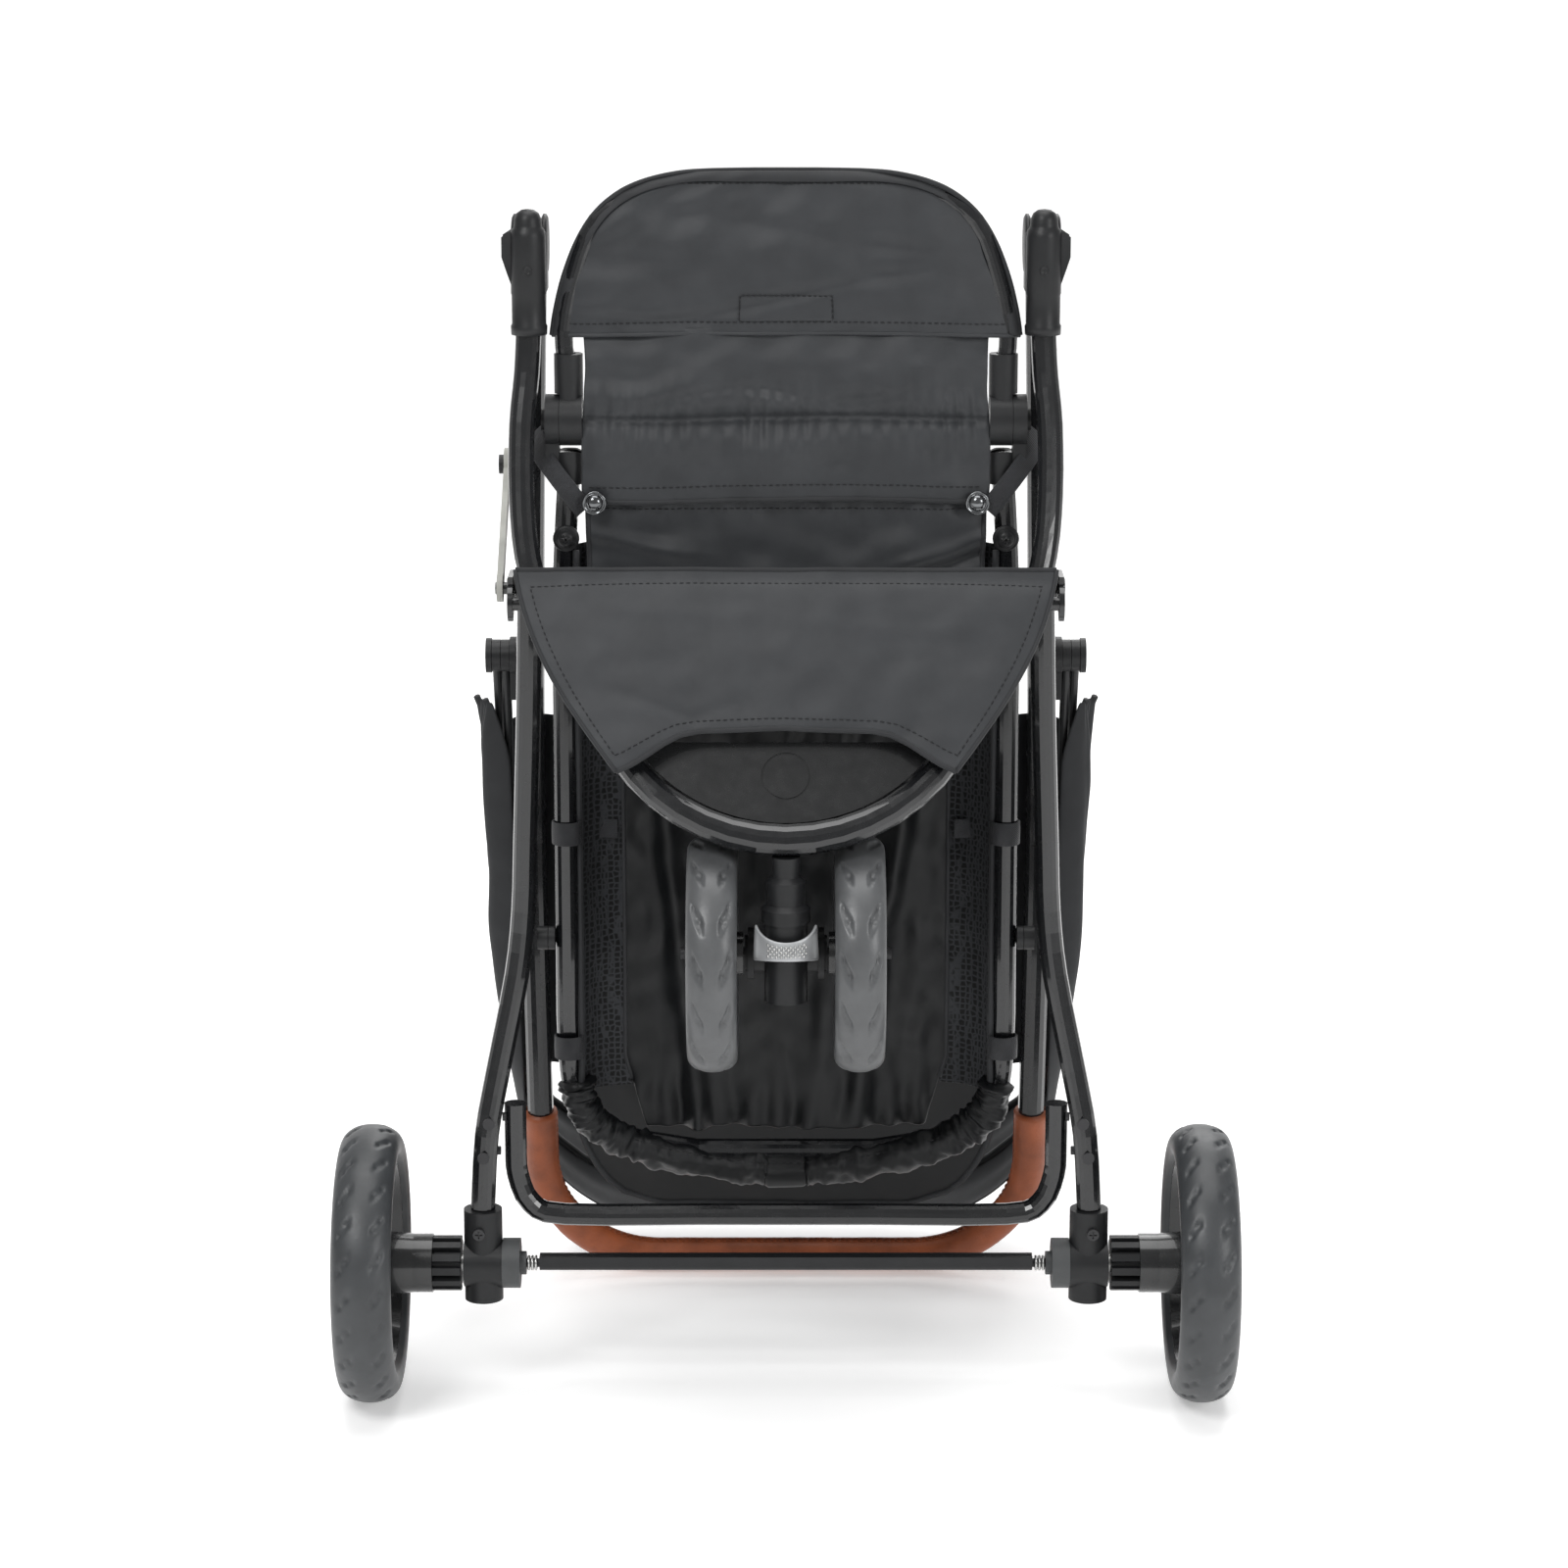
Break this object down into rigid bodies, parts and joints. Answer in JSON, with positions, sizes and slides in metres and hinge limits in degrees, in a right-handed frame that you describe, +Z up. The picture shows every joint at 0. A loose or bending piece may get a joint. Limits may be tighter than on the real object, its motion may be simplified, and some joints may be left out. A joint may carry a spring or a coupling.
{
  "type": "pet stroller",
  "caption": "Folding pet stroller standing folded, with twin swivel front wheels, two rear wheels, a cabin loop, a folding canopy and a leather-covered U handle.",
  "frame": {"origin": "bottom centre of the bounding box of the folded stroller, on the floor", "axes": "+Z up, -Y towards the front of the stroller, -X towards its latch side"},
  "size_m": [0.604, 0.4677, 0.825],
  "materials": {
    "frame_black": "satin black powder coat",
    "black_plastic": "moulded black nylon",
    "gloss_plastic": "glossy black",
    "steel": "bright zinc",
    "rear_tyre": "grey foam rubber",
    "front_tyre": "grey foam rubber",
    "tab_silver": "silver painted",
    "tan_leather": "stitched tan leatherette",
    "charcoal_cloth": "coated polyester",
    "black_nylon": "satin nylon",
    "webbing": "ribbed webbing",
    "latch_grey": "light grey"
  },
  "bodies": {
    "front_frame": {"front_tube": "frame_black", "hinge_housings": "black_plastic", "fender_plate": "gloss_plastic", "caster_socket": "black_plastic", "pivot_plates": "frame_black", "apron": "charcoal_cloth"},
    "rear_frame": {"rear_leg_left": "frame_black", "rear_leg_right": "frame_black", "leg_eyes": "frame_black", "crossbar": "frame_black", "axle_brackets": "black_plastic", "rear_axles": "steel", "leg_rivets": "steel", "bracket_screws": "steel", "pivot_bushings": "black_plastic", "brake_discs": "black_plastic", "brake_springs": "steel"},
    "brake": {"brake_bar": "black_plastic"},
    "rear_wheel_left": {"rear_tyre_left": "rear_tyre", "rear_rim_left": "gloss_plastic", "brake_gear_left": "black_plastic"},
    "rear_wheel_right": {"rear_tyre_right": "rear_tyre", "rear_rim_right": "gloss_plastic", "brake_gear_right": "black_plastic"},
    "caster": {"caster_fork": "black_plastic", "front_axle": "steel"},
    "lock_tab": {"swivel_lock_tab": "tab_silver"},
    "front_wheel_left": {"front_tyre_left": "front_tyre", "front_rim_left": "gloss_plastic"},
    "front_wheel_right": {"front_tyre_right": "front_tyre", "front_rim_right": "gloss_plastic"},
    "handle": {"handle_tube_left": "frame_black", "handle_tube_right": "frame_black", "handle_hubs": "black_plastic", "leather_grip": "tan_leather", "canopy_clips": "black_plastic", "latch_stud": "black_plastic"},
    "latch": {"fold_latch": "latch_grey"},
    "canopy_mid": {"canopy_mid_bow": "black_plastic", "canopy_mid_eyes": "black_plastic", "canopy_cloth_rear": "charcoal_cloth"},
    "canopy_front": {"canopy_front_bow": "black_plastic", "canopy_front_eyes": "black_plastic", "canopy_cloth_front": "charcoal_cloth"},
    "cabin": {"cabin_loop": "frame_black", "cabin_knuckles": "black_plastic", "pivot_lugs": "black_plastic", "cabin_floor": "black_nylon", "gathered_edge": "black_nylon", "lower_panel": "charcoal_cloth", "mid_panel": "charcoal_cloth", "webbing_straps": "webbing", "snap_buttons": "gloss_plastic"},
    "wall_left": {"side_wall_left": "charcoal_cloth"},
    "wall_right": {"side_wall_right": "charcoal_cloth"},
    "bow": {"bow_tube": "frame_black", "bow_knuckles": "black_plastic", "top_flap": "charcoal_cloth"},
    "button_left": {"push_button_left": "black_plastic"},
    "button_right": {"push_button_right": "black_plastic"}
  },
  "joints": [
    {"name": "rear_fold", "type": "hinge", "parent": "front_frame", "child": "rear_frame", "pos_m": [0, -0.0857, 0.556], "axis": [1, 0, 0], "range_deg": [0, 65.5]},
    {"name": "handle_fold", "type": "hinge", "parent": "front_frame", "child": "handle", "pos_m": [0, -0.0397, 0.777], "axis": [1, 0, 0], "range_deg": [0, 109.05]},
    {"name": "cabin_fold", "type": "hinge", "parent": "rear_frame", "child": "cabin", "pos_m": [0, -0.0707, 0.313], "axis": [1, 0, 0], "range_deg": [0, 2.05]},
    {"name": "wall_left_fold", "type": "hinge", "parent": "cabin", "child": "wall_left", "pos_m": [-0.128, -0.0257, 0.409], "axis": [0, 0, 1], "range_deg": [0, 82.05]},
    {"name": "wall_right_fold", "type": "hinge", "parent": "cabin", "child": "wall_right", "pos_m": [0.128, -0.0257, 0.409], "axis": [0, 0, -1], "range_deg": [0, 82.05]},
    {"name": "bow_tilt", "type": "hinge", "parent": "cabin", "child": "bow", "pos_m": [0, -0.0557, 0.663], "axis": [1, 0, 0], "range_deg": [-80, 0]},
    {"name": "canopy_open", "type": "hinge", "parent": "handle", "child": "canopy_mid", "pos_m": [0, 0.0283, 0.487], "axis": [1, 0, 0], "range_deg": [0, 50]},
    {"name": "canopy_front_open", "type": "hinge", "parent": "canopy_mid", "child": "canopy_front", "pos_m": [0, 0.0283, 0.487], "axis": [1, 0, 0], "range_deg": [0, 50]},
    {"name": "caster_swivel", "type": "hinge", "parent": "front_frame", "child": "caster", "pos_m": [0, -0.1897, 0.355], "axis": [0, 0, 1], "continuous": true},
    {"name": "front_spin_left", "type": "hinge", "parent": "caster", "child": "front_wheel_left", "pos_m": [-0.048, -0.1557, 0.326], "axis": [1, 0, 0], "continuous": true},
    {"name": "front_spin_right", "type": "hinge", "parent": "caster", "child": "front_wheel_right", "pos_m": [0.048, -0.1557, 0.326], "axis": [1, 0, 0], "continuous": true},
    {"name": "rear_spin_left", "type": "hinge", "parent": "rear_frame", "child": "rear_wheel_left", "pos_m": [-0.281, -0.1057, 0.094], "axis": [1, 0, 0], "continuous": true},
    {"name": "rear_spin_right", "type": "hinge", "parent": "rear_frame", "child": "rear_wheel_right", "pos_m": [0.281, -0.1057, 0.094], "axis": [1, 0, 0], "continuous": true},
    {"name": "brake_turn", "type": "hinge", "parent": "rear_frame", "child": "brake", "pos_m": [0, -0.1057, 0.094], "axis": [1, 0, 0], "range_deg": [0, 20]},
    {"name": "lock_tab_slide", "type": "slide", "parent": "caster", "child": "lock_tab", "axis": [0, 0, -1], "range_m": [0, 0.005]},
    {"name": "latch_turn", "type": "hinge", "parent": "front_frame", "child": "latch", "pos_m": [-0.187, -0.0977, 0.558], "axis": [1, 0, 0], "range_deg": [0, 60]},
    {"name": "button_left_press", "type": "slide", "parent": "cabin", "child": "button_left", "axis": [1, 0, 0], "range_m": [0, 0.002], "stiffness_N_per_m": 400},
    {"name": "button_right_press", "type": "slide", "parent": "cabin", "child": "button_right", "axis": [-1, 0, 0], "range_m": [0, 0.002], "stiffness_N_per_m": 400}
  ],
  "couplings": [
    {"joint": "handle_fold", "follows": "rear_fold", "ratio": 1.6641},
    {"joint": "cabin_fold", "follows": "rear_fold", "ratio": 0.03053},
    {"joint": "wall_left_fold", "follows": "rear_fold", "ratio": 1.2519},
    {"joint": "wall_right_fold", "follows": "rear_fold", "ratio": 1.2519},
    {"joint": "canopy_front_open", "follows": "canopy_open", "ratio": 1}
  ]
}
